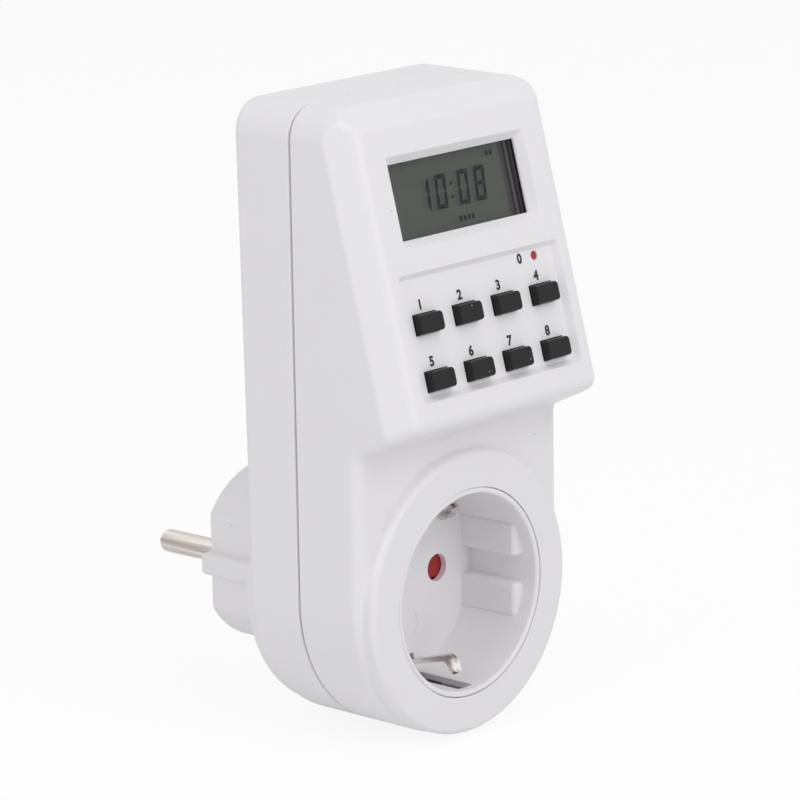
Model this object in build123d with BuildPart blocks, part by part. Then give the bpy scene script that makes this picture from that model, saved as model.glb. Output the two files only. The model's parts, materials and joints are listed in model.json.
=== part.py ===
"""Plug in timer switch.

A two-shell case with an earthed plug on its back, an earthed socket low on its front, and
a slanted panel with a display and eight keys above the socket.

Millimetres. The origin is the centre of the plug's engagement face, on the axis that plug
and socket share. +X is to the right seen from the front, +Y points into the wall that the
plug goes into, and +Z is up.
"""

from build123d import *
from math import cos, radians, sin, tan
import os

# Case, seen from the side: y positions from the front back to the wall
ring_face_y = -56.7  # front of the socket ring
lower_face_y = -54.4  # flat face above the ring
seam_y = -38.6  # where the two shells meet
case_back_y = -24.8  # back of the case at the plug's axis
back_lean = 0.9  # degrees by which the back leans away from the front, going up
back_inner_y = -27.0
case_width = 59.2
case_radius = case_width / 2  # round lower end
round_end_z = 0.9  # middle of the round lower end, just above the socket's axis
case_top = 98.8
top_corner_radius = 6.5
back_edge_radius = 1.5
ring_radius = 28.5
ring_edge_radius = 1.2
wall = 2.2
lip = 1.2  # lip of the rear shell inside the front one
lip_reach = 2.0
lip_root = 3.0
seam_groove = 0.65
seam_groove_depth = 1.5
seam_edge = 0.3
fit_gap = 0.15
insert_gap = 0.1
thread_gap = 0.05
screw_gap = 0.1  # round a shank that passes freely
lower_inner_y = lower_face_y + wall

# Head with the slanted panel
panel_foot_y = -67.5  # where panel and underside would meet without their rounding
panel_foot_z = 38.5
panel_tilt = 14.75
panel_height = 58.5  # along the slant
panel_wall = 3.0
cove_radius = 2.5
panel_edge_radius = 2.5
side_edge_radius = 2.5
front_edge_radius = 1.5  # all round the front of the front shell
brow_back_y = -46.85  # where the bevel above the panel meets the top
underside_back_z = 32.4  # where the underside of the head would meet the lower face
side_taper_width = 3.2
side_taper_depth = 6.0
crease_end = (0.7, 0.8, 1.8)  # from the case's upper corner to the top end of a side crease
panel_corner = (2.6, 1.4, 0.9)  # from the case's side and the panel's top to their common edge
brow_corner = (3.8, 0.9, 0.6)  # from the case's side and top to the rounded end of the brow

# Display window and keypad, in the panel: x across, t up the slant from its foot
window_t = 43.75
window_width = 39.6
window_height = 17.8
window_bevel = 1.5
window_depth = 1.6
keypad_t = 17.8
keypad_width = 46.6
keypad_height = 24.7
keypad_depth = 1.2
keypad_slope = 1.0
keypad_corner = 0.4
key_pitch = 11.3
key_rows_t = (20.3, 9.3)
key_width = 6.4
key_height = 3.75
key_gap = 0.2
key_proud = 0.8  # front of a key above the panel
key_edge = 0.35
key_corner = 0.8  # at the right end of a key
key_left_corner = 0.3
flange_depth = 3.3  # front of a key's flange behind the panel
flange_thickness = 0.8
flange_margin = 0.7
clear_x = 17.0
clear_t = 27.9
clear_radius = 0.8
clear_depth = 1.5

# Display, mat and control board, as depths behind the panel
cover_depth = 2.0
cover_thickness = 1.0
cover_width = 38.0
cover_height = 16.4
display_depth = 3.3
display_thickness = 2.2
display_width = 38.6
display_height = 17.4
holder_depth = 3.05
holder_wall = 0.9
holder_inner_width = display_width + 0.2
holder_inner_height = display_height + 0.2
zebra_length = display_width - 4
zebra_width = 1.6
zebra_t = 7.4  # from the middle of the display
mat_depth = 7.2
dome_depth = 5.25
mat_width = 41.4
mat_t = (5.3, 31.0)
key_dome_radius = 2.4
clear_dome_radius = 1.6
dome_taper = 20
board_depth = 8.0
board_thickness = 1.2
board_back_depth = board_depth + board_thickness
control_board_width = 50.0
control_board_height = 49.4
control_board_t = 29.7
control_post_radius = 2.0
chip_x = -2.0
chip_radius = 6.5
chip_height = 1.4
chip_edge = 1.2
crystal_t = 31.75
crystal_radius = 1.5
crystal_length = 6.0
crystal_edge = 0.5
cell_x = 13.0
cell_t = 25.7
cell_radius = 5.75
cell_height = 5.4
cell_edge = 0.8
ribbon_t = 16.0
ribbon_width = 8.0
ribbon_x = -15.0
ribbon_thickness = 0.6
ribbon_straight = 6.0  # first stretch, square to the board
ribbon_bend_y = -40.0
ribbon_end_z = 62.0
ribbon_bend = 3.0
control_posts = [(x, t) for x in (-23.0, 23.0) for t in (14.8, 48.1)]

# Socket
insert_radius = 21.0
recess_radius = 19.8
recess_depth = 17.5
floor_thickness = 1.4
insert_edge = 0.5
insert_inner_edge = 0.6
collar_radius = 22.8
collar_back_y = -45.0
pin_offset = 9.5
contact_hole_radius = 2.8
mark_radius = 3.45
mark_z = -10.0
rib_face_x = 17.0
rib_z = (2.7, 9.9)
rib_front_y = -53.2
rib_edge = 1.1
clip_slot_width = 4.2
clip_slot_height = 3.7  # through the whole wall
clip_slot_z = 20.15
clip_slot_front_y = -54.8
clip_pocket_radius = 23.6
clip_pocket_width = 8.0
floor_slot_width = 4.2
floor_slot_z = (16.05, 18.25)
strap_floor_z = 17.3  # where the earth straps pass the floor
mark_width = 0.4
mark_depth = 0.12
skirt_radii = (18.6, 20.6)
skirt_back_y = -33.2
ear_x = 23.6
ear_z = -2.0
ear_front_y = -42.0
ear_thickness = 1.5
ear_height = 4.4
ear_width = 5.2
ear_inset = 0.8  # of the ear's middle towards the socket, from its screw
ear_post_radius = 2.0
recess_floor_y = ring_face_y + recess_depth
floor_back_y = recess_floor_y + floor_thickness

# Shutter
shutter_half_width = 13.0
shutter_half_height = 3.6
shutter_front_y = floor_back_y + 0.2  # just behind the floor
shutter_back_y = -33.6
shutter_ramp = 1.2  # depth of the slope along its lower edge
shutter_ramp_z = -2.4
rail_x = (13.3, 15.0)
rail_z = (-5.0, 11.5)
spring_radius = 1.3
spring_wire = 0.4
spring_turns = 5
spring_y = -35.2
spring_seat_z = 14.2
stop_z = -3.9
guide_stop_width = 6.0
guide_stop_height = 1.5

# Contacts
carrier_front_y = -33.0
carrier_back_y = -30.6
carrier_radius = 20.6
carrier_slot_height = 2.2
carrier_ear_width = 6.0
carrier_ear_inset = 1.2
tower_radius = 4.4
tower_back_y = -24.5
contact_radii = (2.45, 3.1)
contact_front_y = -32.6
contact_back_y = -20.8
contact_slit = 0.8
bus_thickness = 0.7
bus_width = 4.0

# Plug
pin_radius = 2.4
pin_length = 19.0
pin_tip_radius = 1.9
pin_neck_radius = 2.2  # from the boss inwards
pin_neck_y = 0.3
pin_tail_y = -7.2
boss_radius = 18.4
boss_flat_x = 15.55
boss_key_x = 18.4  # key on each side of the boss
boss_key_width = 4.5
boss_key_corner = 1.0
boss_edge = 1.0
boss_bore_radius = 15.9
boss_bore_flat_x = 14.2
boss_end_wall = 4.5
pad_radius = 28.0
pad_front_y = -25.8  # floor of the shallow round seat in the case's back
pad_back_y = -22.4
pad_edge = 0.4
spigot_radius = 16.85
spigot_hole_radius = 17.0

# Earth straps: one bent strip each, from a clip in the socket to a side contact of the plug
strap_thickness = 1.1
strap_width = 2.6
strap_end_radius = 1.1
strap_slot_width = 3.8
strap_notch = 3.0
strap_gap = 0.1
strap_inner_z = 14.6
strap_outer_z = 17.6
strap_turn_y = -1.3
strap_end_y = -15.0
groove_length = 15.5
clip_crest = (-50.9, 14.3)
clip_tip = (-52.9, 17.2)
clip_foot_y = -39.6
strap_path = [
    clip_tip,
    clip_crest,
    (clip_foot_y, strap_floor_z),
    (-30.2, strap_floor_z),
    (-28.0, strap_inner_z),
    (strap_turn_y, strap_inner_z),
    (strap_turn_y, strap_outer_z),
    (strap_end_y, strap_outer_z),
]
strap_bends = [1.6, 4.0, 1.5, 1.5, 1.2, 1.2]
bridge_front_y = -27.6

# Screws that join the shells, seen from the back: position, then heights along y
case_screws = [(x, z) for x, z in ((23.4, 92.3), (-23.4, 92.3), (16.7, -16.5), (-16.7, -16.5))]
screw_seat_y = -28.0
screw_radius = 1.3
screw_head_radius = 2.5
screw_head_height = 1.8
screw_head_edge = 0.6
screw_head_gap = 0.2
post_gap = 0.3
screw_end_y = -42.0
post_joint_y = -30.4
front_post_radius = 2.1
rear_post_radius = 3.6

# Power board, and the parts on it
power_back_y = -30.5
power_front_y = -32.1
power_width = 50.0
power_z = (25.5, 88.0)
power_posts = [(22.3, 28.0), (-22.3, 28.0), (0.0, 84.0)]
small_post_radius = 2.6
small_screw_radius = 0.9
small_head_radius = 1.9
small_head_height = 1.3
small_head_edge = 0.5
small_screw_length = 4.0
relay_place = (-9, 37.8)
relay_size = (19, 15.5, 15.6)
relay_edge = 0.6
film_place = (12, 52.5)
film_size = (18, 8, 11)
film_edge = 0.8
filter_place = (-4, 57)
filter_radius = 4.0
filter_height = 11.0
filter_edge = 0.6
varistor_x = 13.0
varistor_z = 36.0
varistor_rise = 5.4
varistor_radius = 4.6
varistor_thickness = 3.6
varistor_edge = 1.0
varistor_leg_x = 2.5
varistor_leg_radius = 0.4
varistor_leg_length = 2.5
diode_x = -18.0
diode_z = (68, 72, 76, 80)
diode_radius = 1.35
diode_length = 5.2
resistor_x = 6.0
resistor_z = 64.0
resistor_radius = 1.7
resistor_length = 11.0
resistor_edge = 0.8
regulator_x = 1.0
regulator_z = 69.0
regulator_width = 4.6
regulator_depth = 3.6
insert_screw_radius = 1.2
insert_screw_length = 16.0
lead_radius = 1.1
solder_z = 31.0
line_solder_x = 11.0
switched_solder_x = 17.0
lead_run_y = power_back_y + lead_radius


def front_plane(y):
    """Upright plane at depth y that faces the viewer: local x is +X and local y is +Z."""
    return Plane(origin=(0, y, 0), x_dir=(1, 0, 0), z_dir=(0, -1, 0))


panel_up = Vector(0, sin(radians(panel_tilt)), cos(radians(panel_tilt)))
panel_normal = Vector(0, -cos(radians(panel_tilt)), sin(radians(panel_tilt)))
panel_foot = Vector(0, panel_foot_y, panel_foot_z)
panel_top = panel_foot + panel_up * panel_height


def behind_panel(depth):
    """Plane parallel to the panel at a depth behind it, with its origin at the panel's foot."""
    return Plane(origin=panel_foot - panel_normal * depth, x_dir=(1, 0, 0), z_dir=panel_normal)


def key_places():
    """Key centres on the panel, row by row, left to right."""
    return [((column - 1.5) * key_pitch, t) for t in key_rows_t for column in range(4)]


def case_outline(inset, y):
    """Outline of the case seen from the front, moved in by inset: round end, square top."""
    half = case_radius - inset
    top = case_top - inset
    with BuildSketch(front_plane(y)) as outline:
        with BuildLine():
            Polyline((half, round_end_z), (half, top), (-half, top), (-half, round_end_z))
            ThreePointArc((-half, round_end_z), (0, round_end_z - half), (half, round_end_z))
        make_face()
        fillet(outline.vertices().group_by(Axis.Y)[-1], top_corner_radius - inset)
    return outline.sketch


def side_profile(inset):
    """Side view of the front shell: brow, slanted panel, underside of the head, lower face."""
    below = -case_radius - wall
    brow_slope = (case_top - panel_top.Z) / (brow_back_y - panel_top.Y)
    with BuildSketch(Plane.YZ) as profile:
        with BuildLine():
            Polyline(
                (seam_y + inset, below),
                (seam_y + inset, case_top + brow_slope * (seam_y + inset - brow_back_y)),
                (panel_top.Y, panel_top.Z),
                (panel_foot_y, panel_foot_z),
                (lower_face_y, underside_back_z),
                (lower_face_y, below),
                close=True,
            )
        make_face()
        if inset:
            offset(amount=-inset, kind=Kind.INTERSECTION)
        else:
            cove = profile.vertices().sort_by_distance((lower_face_y, underside_back_z))[0]
            fillet(cove, cove_radius)
    return profile.sketch


def panel_section(inset, panel_inset):
    """Section square to the slant: flat panel, and tapered sides that run out past the case."""
    half = case_radius - inset - side_taper_width
    spread = half + side_taper_width * 2
    back = panel_inset + 2 * side_taper_depth
    with BuildSketch(Plane(origin=panel_foot, x_dir=(1, 0, 0), z_dir=panel_up)) as section:
        with BuildLine():
            Polyline(
                (-spread, back + case_width),
                (-spread, back),
                (-half, panel_inset),
                (half, panel_inset),
                (spread, back),
                (spread, back + case_width),
                close=True,
            )
        make_face()
    return section.sketch


def round_edges(block, places, radius):
    """Block with the edge that passes each place rounded."""
    return block.fillet(radius, [block.edges().sort_by_distance(place)[0] for place in places])


def front_solid(inset, panel_inset):
    """Solid block of the front shell with sharp edges, moved in by inset, panel_inset at the panel."""
    with BuildPart() as block:
        extrude(case_outline(inset, seam_y), amount=seam_y - panel_foot_y)
        extrude(side_profile(inset), amount=case_width, both=True, mode=Mode.INTERSECT)
        extrude(panel_section(inset, panel_inset), amount=2 * case_width, both=True, mode=Mode.INTERSECT)
    return block.part


def rounded_front():
    """The front shell's block, with every edge of its front rounded."""
    inward = -panel_normal
    under = (Vector(0, lower_face_y, underside_back_z) - panel_foot).normalized()
    under *= side_taper_depth / under.dot(inward)
    corner = case_top - top_corner_radius * (1 - cos(radians(45)))
    panel_edges = [panel_foot]
    side_edges = []
    front_edges = [
        panel_top,
        Vector(0, brow_back_y, case_top),
        Vector(0, lower_face_y, round_end_z - case_radius),
    ]
    for side in (1, -1):
        panel_side = Vector(side * (case_radius - side_taper_width), 0, 0)
        case_side = Vector(side * case_radius, 0, 0)
        middle = (panel_foot + panel_top) / 2
        panel_edges += [panel_side + middle, (panel_side + panel_foot + case_side + panel_foot + under) / 2]
        side_edges += [
            case_side + middle + inward * side_taper_depth,
            Vector(
                side * (case_radius - crease_end[0]),
                brow_back_y - crease_end[1],
                corner - crease_end[2],
            ),
        ]
        front_edges += [
            Vector(
                side * (case_radius - panel_corner[0]),
                panel_top.Y + panel_corner[1],
                panel_top.Z + panel_corner[2],
            ),
            Vector(
                side * (case_radius - brow_corner[0]),
                brow_back_y - brow_corner[1],
                case_top - brow_corner[2],
            ),
            Vector(side * case_radius, lower_face_y, underside_back_z / 2),
        ]
    block = round_edges(front_solid(0, 0), panel_edges, panel_edge_radius)
    block = round_edges(block, side_edges, side_edge_radius)
    return round_edges(block, front_edges, front_edge_radius)


def small_screws(plane, places, side, radius, length):
    """Pan head screws: heads on the plane's front (side 1) or back (side -1), shanks beyond it."""
    with BuildPart() as screws:
        with BuildSketch(plane):
            with Locations(*places):
                Circle(small_head_radius)
        extrude(amount=side * small_head_height)
        fillet(screws.edges().group_by(Axis(plane.origin, plane.z_dir * side))[-1], small_head_edge)
        with BuildSketch(plane):
            with Locations(*places):
                Circle(radius)
        extrude(amount=-side * length)
    return screws


def ring_sketch(outer, inner, y):
    """Flat ring about the plug's axis, at depth y."""
    with BuildSketch(front_plane(y)) as ring:
        Circle(outer)
        Circle(inner, mode=Mode.SUBTRACT)
    return ring.sketch


def lead(points, bends):
    """Insulated lead along a route of straight runs joined by arcs."""
    with BuildPart() as tube:
        with BuildLine() as route:
            FilletPolyline(*points, radius=bends)
        with BuildSketch(Plane(origin=route.line @ 0, z_dir=route.line % 0)):
            Circle(lead_radius)
        sweep()
    return tube


def earth_strap(side):
    """Bent strip from the socket's clip to the plug's side contact, above or below the axis."""
    with BuildPart() as strap:
        with BuildSketch(Plane.YZ):
            with BuildLine():
                FilletPolyline(*[(y, side * z) for y, z in strap_path], radius=strap_bends)
            trace(line_width=strap_thickness)
        extrude(amount=strap_width / 2, both=True)
        corners = strap.edges().filter_by(lambda edge: abs(edge.length - strap_thickness) < 0.01)
        fillet(corners.sort_by(Axis.Y)[:2], strap_end_radius)
    return strap


# ---------------------------------------------------------------- front shell
with BuildPart() as front_housing:
    # the ring is a disc that stands proud of the flat lower face
    with BuildSketch(front_plane(lower_inner_y)):
        Circle(ring_radius)
    extrude(amount=lower_inner_y - ring_face_y)
    fillet(front_housing.edges().sort_by(Axis.Y)[0], ring_edge_radius)
    add(rounded_front())
    add(front_solid(wall, panel_wall), mode=Mode.SUBTRACT)
    # collar round the socket insert, and posts for the shell screws and the insert screws
    with BuildSketch(front_plane(collar_back_y)):
        Circle(collar_radius)
    extrude(amount=collar_back_y - lower_inner_y)
    with BuildSketch(front_plane(post_joint_y)):
        with Locations(*case_screws[2:]):
            Circle(front_post_radius)
    extrude(amount=post_joint_y - lower_inner_y)
    with BuildSketch(front_plane(post_joint_y)):
        with Locations(*case_screws[:2]):
            Circle(front_post_radius)
    extrude(amount=post_joint_y - panel_top.Y - wall / 2)
    with BuildSketch(front_plane(ear_front_y)):
        with Locations((ear_x, ear_z), (-ear_x, ear_z)):
            Circle(ear_post_radius)
    extrude(amount=ear_front_y - lower_inner_y)
    with BuildSketch(front_plane(post_joint_y)):
        with Locations(*case_screws):
            Circle(screw_radius + thread_gap)
    extrude(amount=post_joint_y - screw_end_y + 1, mode=Mode.SUBTRACT)
    with BuildSketch(front_plane(ear_front_y)):
        with Locations((ear_x, ear_z), (-ear_x, ear_z)):
            Circle(insert_screw_radius + thread_gap)
    extrude(
        amount=ear_front_y - carrier_back_y + insert_screw_length + 1,
        mode=Mode.SUBTRACT,
    )
    # hole for the socket insert, and pockets beside it that the earth clips can flex into
    with BuildSketch(front_plane(post_joint_y)):
        Circle(insert_radius + insert_gap)
    extrude(amount=post_joint_y - ring_face_y, mode=Mode.SUBTRACT)
    with BuildSketch(front_plane(collar_back_y)):
        Rectangle(clip_pocket_width, 2 * clip_pocket_radius)
    extrude(amount=collar_back_y - clip_slot_front_y, mode=Mode.SUBTRACT)
    # posts for the control board
    with BuildSketch(behind_panel(board_depth)):
        with Locations(*control_posts):
            Circle(control_post_radius)
    extrude(amount=board_depth - panel_wall + wall / 2)
    with BuildSketch(behind_panel(board_depth)):
        with Locations(*control_posts):
            Circle(small_screw_radius + thread_gap)
    extrude(amount=board_depth - panel_wall, mode=Mode.SUBTRACT)
    # window: bevelled edge, opening, then the pocket that the clear cover sits in
    opening_width = window_width - 2 * window_bevel
    opening_height = window_height - 2 * window_bevel
    with BuildSketch(behind_panel(0)):
        with Locations((0, window_t)):
            Rectangle(window_width, window_height)
    with BuildSketch(behind_panel(window_depth)):
        with Locations((0, window_t)):
            Rectangle(opening_width, opening_height)
    loft(mode=Mode.SUBTRACT)
    with BuildSketch(behind_panel(window_depth)):
        with Locations((0, window_t)):
            Rectangle(opening_width, opening_height)
    extrude(amount=window_depth - panel_wall - 1, mode=Mode.SUBTRACT)
    with BuildSketch(behind_panel(cover_depth)):
        with Locations((0, window_t)):
            Rectangle(cover_width + 2 * fit_gap, cover_height + 2 * fit_gap)
    extrude(amount=cover_depth - panel_wall - 1, mode=Mode.SUBTRACT)
    # keypad recess with sloped sides, and the holes in its floor
    with BuildSketch(behind_panel(0)):
        with Locations((0, keypad_t)):
            RectangleRounded(keypad_width, keypad_height, keypad_corner + keypad_slope)
    with BuildSketch(behind_panel(keypad_depth)):
        with Locations((0, keypad_t)):
            RectangleRounded(
                keypad_width - 2 * keypad_slope, keypad_height - 2 * keypad_slope, keypad_corner
            )
    loft(mode=Mode.SUBTRACT)
    with BuildSketch(behind_panel(keypad_depth)):
        with Locations(*key_places()):
            Rectangle(key_width + 2 * key_gap, key_height + 2 * key_gap)
        with Locations((clear_x, clear_t)):
            Circle(clear_radius + fit_gap)
    extrude(amount=keypad_depth - panel_wall - 1, mode=Mode.SUBTRACT)

# ---------------------------------------------------------------- rear shell
with BuildPart() as rear_housing:
    extrude(case_outline(0, pad_back_y), amount=pad_back_y - seam_y - seam_groove)
    # the back leans away from the front, going up
    with BuildSketch(Plane.YZ):
        with BuildLine():
            Polyline(
                (case_back_y - case_width * tan(radians(back_lean)), -case_width),
                (case_back_y + 2 * case_width * tan(radians(back_lean)), 2 * case_width),
                (seam_y, 2 * case_width),
                (seam_y, -case_width),
                close=True,
            )
        make_face()
    extrude(amount=case_width, both=True, mode=Mode.INTERSECT)
    fillet(rear_housing.faces().sort_by(Axis.Y)[-1].edges(), back_edge_radius)
    fillet(rear_housing.faces().sort_by(Axis.Y)[0].edges(), seam_edge)
    extrude(case_outline(seam_groove_depth, seam_y + seam_groove), amount=seam_groove)
    extrude(case_outline(wall + fit_gap, seam_y), amount=lip_reach)
    extrude(case_outline(wall, back_inner_y), amount=back_inner_y - seam_y - lip_root, mode=Mode.SUBTRACT)
    extrude(
        case_outline(wall + fit_gap + lip, seam_y + lip_root),
        amount=lip_root + lip_reach,
        mode=Mode.SUBTRACT,
    )
    # shallow round seat for the plug base, and the opening for its spigot
    with BuildSketch(front_plane(0)):
        Circle(pad_radius + fit_gap)
    extrude(amount=-pad_front_y, mode=Mode.SUBTRACT)
    with BuildSketch(front_plane(0)):
        Circle(spigot_hole_radius)
    extrude(amount=-back_inner_y, mode=Mode.SUBTRACT)
    # posts for the shell screws, and room for the front shell's posts past the lip
    with BuildSketch(front_plane(back_inner_y + wall / 2)):
        with Locations(*case_screws):
            Circle(rear_post_radius)
    extrude(amount=back_inner_y + wall / 2 - post_joint_y)
    with BuildSketch(front_plane(post_joint_y)):
        with Locations(*case_screws):
            Circle(front_post_radius + post_gap)
    extrude(amount=post_joint_y - seam_y + lip_reach, mode=Mode.SUBTRACT)
    with BuildSketch(front_plane(pad_back_y)):
        with Locations(*case_screws):
            Circle(screw_head_radius + screw_head_gap)
    extrude(amount=pad_back_y - screw_seat_y, mode=Mode.SUBTRACT)
    with BuildSketch(front_plane(screw_seat_y)):
        with Locations(*case_screws):
            Circle(screw_radius + screw_gap)
    extrude(amount=screw_seat_y - post_joint_y, mode=Mode.SUBTRACT)
    # posts for the power board
    with BuildSketch(front_plane(back_inner_y)):
        with Locations(*power_posts):
            Circle(small_post_radius)
    extrude(amount=back_inner_y - power_back_y)
    with BuildSketch(front_plane(back_inner_y)):
        with Locations(*power_posts):
            Circle(small_screw_radius + thread_gap)
    extrude(amount=back_inner_y - power_back_y, mode=Mode.SUBTRACT)

# round pad, plug boss with a key on each side, and the spigot inside the case
with BuildPart() as plug_base:
    with BuildSketch(front_plane(pad_back_y)):
        Circle(pad_radius)
    extrude(amount=pad_back_y - pad_front_y)
    fillet(plug_base.edges().sort_by(Axis.Y)[-1], pad_edge)
    with BuildSketch(front_plane(pad_front_y)):
        Circle(spigot_radius)
    extrude(amount=pad_front_y - back_inner_y)
    with BuildSketch(front_plane(0)):
        Circle(boss_radius)
        Rectangle(2 * boss_flat_x, 2 * boss_radius, mode=Mode.INTERSECT)
        RectangleRounded(2 * boss_key_x, boss_key_width, boss_key_corner)
    extrude(amount=-pad_back_y)
    fillet(plug_base.faces().sort_by(Axis.Y)[-1].edges(), boss_edge)
    with BuildSketch(front_plane(-boss_end_wall)):
        Circle(boss_bore_radius)
        Rectangle(2 * boss_bore_flat_x, 2 * boss_bore_radius, mode=Mode.INTERSECT)
    extrude(amount=-boss_end_wall - back_inner_y, mode=Mode.SUBTRACT)
    with BuildSketch(front_plane(0)):
        with Locations((pin_offset, 0), (-pin_offset, 0)):
            Circle(pin_neck_radius)
    extrude(amount=boss_end_wall, mode=Mode.SUBTRACT)
    # grooves for the side contacts, and the slots that they come out of
    for low, high, reach in (
        (strap_outer_z - strap_thickness / 2 - strap_gap, boss_radius + 1, groove_length),
        (strap_inner_z - strap_thickness / 2 - strap_gap, boss_radius, strap_notch),
        (strap_inner_z - strap_thickness / 2 - strap_gap, boss_bore_radius, boss_end_wall),
    ):
        with BuildSketch(front_plane(0)):
            with Locations((0, (low + high) / 2), (0, -(low + high) / 2)):
                Rectangle(strap_slot_width, high - low)
        extrude(amount=reach, mode=Mode.SUBTRACT)
    # holes in the pad for the heads of the lower screws
    with BuildSketch(front_plane(pad_back_y)):
        with Locations(*case_screws[2:]):
            Circle(screw_head_radius + screw_head_gap)
    extrude(amount=pad_back_y - pad_front_y, mode=Mode.SUBTRACT)

with BuildPart() as housing_screws:
    with BuildSketch(front_plane(screw_seat_y + screw_head_height)):
        with Locations(*case_screws):
            Circle(screw_head_radius)
    extrude(amount=screw_head_height)
    fillet(housing_screws.faces().group_by(Axis.Y)[-1].edges(), screw_head_edge)
    with BuildSketch(front_plane(screw_seat_y)):
        with Locations(*case_screws):
            Circle(screw_radius)
    extrude(amount=screw_seat_y - screw_end_y)

# ---------------------------------------------------------------- socket
with BuildPart() as ribs:
    with BuildSketch(front_plane(recess_floor_y)):
        for side in (1, -1):
            for end in (1, -1):
                with Locations((side * (rib_face_x + insert_radius) / 2, end * (rib_z[0] + rib_z[1]) / 2)):
                    Rectangle(insert_radius - rib_face_x, rib_z[1] - rib_z[0])
    extrude(amount=recess_floor_y - rib_front_y)
    free_edges = ribs.edges().filter_by(lambda edge: abs(edge.center().X) < insert_radius - 0.1)
    fillet(free_edges.filter_by(lambda edge: edge.center().Y < recess_floor_y - 0.1), rib_edge)
    with BuildSketch(front_plane(recess_floor_y)):
        Circle((recess_radius + insert_radius) / 2)
    extrude(amount=recess_depth, mode=Mode.INTERSECT)

# wall of the recess, with its lip, ribs and ears
with BuildPart() as socket_insert:
    with BuildSketch(front_plane(recess_floor_y)):
        Circle(insert_radius)
    extrude(amount=recess_depth)
    fillet(socket_insert.edges().sort_by(Axis.Y)[0], insert_edge)
    with BuildSketch(front_plane(recess_floor_y)):
        Circle(recess_radius)
    extrude(amount=recess_depth, mode=Mode.SUBTRACT)
    fillet(
        socket_insert.edges().filter_by(GeomType.CIRCLE).group_by(Axis.Y)[0].sort_by(SortBy.RADIUS)[0],
        insert_inner_edge,
    )
    add(ribs.part)
    with BuildSketch(front_plane(ear_front_y + ear_thickness)):
        with Locations((ear_x - ear_inset, ear_z), (ear_inset - ear_x, ear_z)):
            Rectangle(ear_width, ear_height)
    extrude(amount=ear_thickness)
    with BuildSketch(front_plane(carrier_front_y)):
        with Locations((ear_x, ear_z), (-ear_x, ear_z)):
            Circle(ear_post_radius)
    extrude(amount=carrier_front_y - ear_front_y)
    with BuildSketch(front_plane(carrier_front_y)):
        with Locations((ear_x, ear_z), (-ear_x, ear_z)):
            Circle(insert_screw_radius + screw_gap)
    extrude(amount=carrier_front_y - ear_front_y, mode=Mode.SUBTRACT)
    # slot in the wall behind each earth clip
    with BuildSketch(front_plane(recess_floor_y)):
        with Locations((0, clip_slot_z), (0, -clip_slot_z)):
            Rectangle(clip_slot_width, clip_slot_height)
    extrude(amount=recess_floor_y - clip_slot_front_y, mode=Mode.SUBTRACT)

# floor of the recess, with the contact holes and the shutter's guides behind it
with BuildPart() as socket_floor:
    with BuildSketch(front_plane(floor_back_y)):
        Circle(insert_radius)
        with Locations((pin_offset, 0), (-pin_offset, 0)):
            Circle(contact_hole_radius, mode=Mode.SUBTRACT)
        with Locations((0, sum(floor_slot_z) / 2), (0, -sum(floor_slot_z) / 2)):
            Rectangle(floor_slot_width, floor_slot_z[1] - floor_slot_z[0], mode=Mode.SUBTRACT)
    extrude(amount=floor_thickness)
    # round moulding mark
    with BuildSketch(front_plane(recess_floor_y)):
        with Locations((0, mark_z)):
            Circle(mark_radius)
            Circle(mark_radius - mark_width, mode=Mode.SUBTRACT)
    extrude(amount=-mark_depth, mode=Mode.SUBTRACT)
    # skirt, guide rails, spring seat and stop of the shutter
    extrude(ring_sketch(skirt_radii[1], skirt_radii[0], skirt_back_y), amount=skirt_back_y - floor_back_y)
    with BuildSketch(front_plane(skirt_back_y)):
        for side in (1, -1):
            with Locations((side * (rail_x[0] + rail_x[1]) / 2, (rail_z[0] + rail_z[1]) / 2)):
                Rectangle(rail_x[1] - rail_x[0], rail_z[1] - rail_z[0])
        with Locations((0, spring_seat_z + guide_stop_height / 2), (0, stop_z - guide_stop_height / 2)):
            Rectangle(guide_stop_width, guide_stop_height)
    extrude(amount=skirt_back_y - floor_back_y)

with BuildPart() as shutter:
    with BuildSketch(Plane.YZ):
        with BuildLine():
            Polyline(
                (shutter_front_y, shutter_half_height),
                (shutter_front_y, shutter_ramp_z),
                (shutter_front_y + shutter_ramp, -shutter_half_height),
                (shutter_back_y, -shutter_half_height),
                (shutter_back_y, shutter_half_height),
                close=True,
            )
        make_face()
    extrude(amount=shutter_half_width, both=True)

with BuildPart() as shutter_spring:
    with BuildLine() as coil:
        Helix(
            pitch=(spring_seat_z - shutter_half_height - spring_wire) / spring_turns,
            height=spring_seat_z - shutter_half_height - spring_wire,
            radius=spring_radius,
            center=(0, spring_y, shutter_half_height + spring_wire / 2),
        )
    with BuildSketch(Plane(origin=coil.line @ 0, z_dir=coil.line % 0)):
        Circle(spring_wire / 2)
    sweep(is_frenet=True)

with BuildPart() as contact_carrier:
    with BuildSketch(front_plane(carrier_back_y)):
        Circle(carrier_radius)
        with Locations((ear_x - carrier_ear_inset, ear_z), (carrier_ear_inset - ear_x, ear_z)):
            Rectangle(carrier_ear_width, ear_height)
        with Locations((ear_x, ear_z), (-ear_x, ear_z)):
            Circle(insert_screw_radius + screw_gap, mode=Mode.SUBTRACT)
        with Locations((0, strap_floor_z), (0, -strap_floor_z)):
            Rectangle(floor_slot_width, carrier_slot_height, mode=Mode.SUBTRACT)
    extrude(amount=carrier_back_y - carrier_front_y)
    with BuildSketch(front_plane(tower_back_y)):
        with Locations((pin_offset, 0), (-pin_offset, 0)):
            Circle(tower_radius)
    extrude(amount=tower_back_y - carrier_back_y)
    with BuildSketch(front_plane(tower_back_y)):
        with Locations((pin_offset, 0), (-pin_offset, 0)):
            Circle(contact_radii[1])
    extrude(amount=tower_back_y - carrier_front_y, mode=Mode.SUBTRACT)


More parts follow.
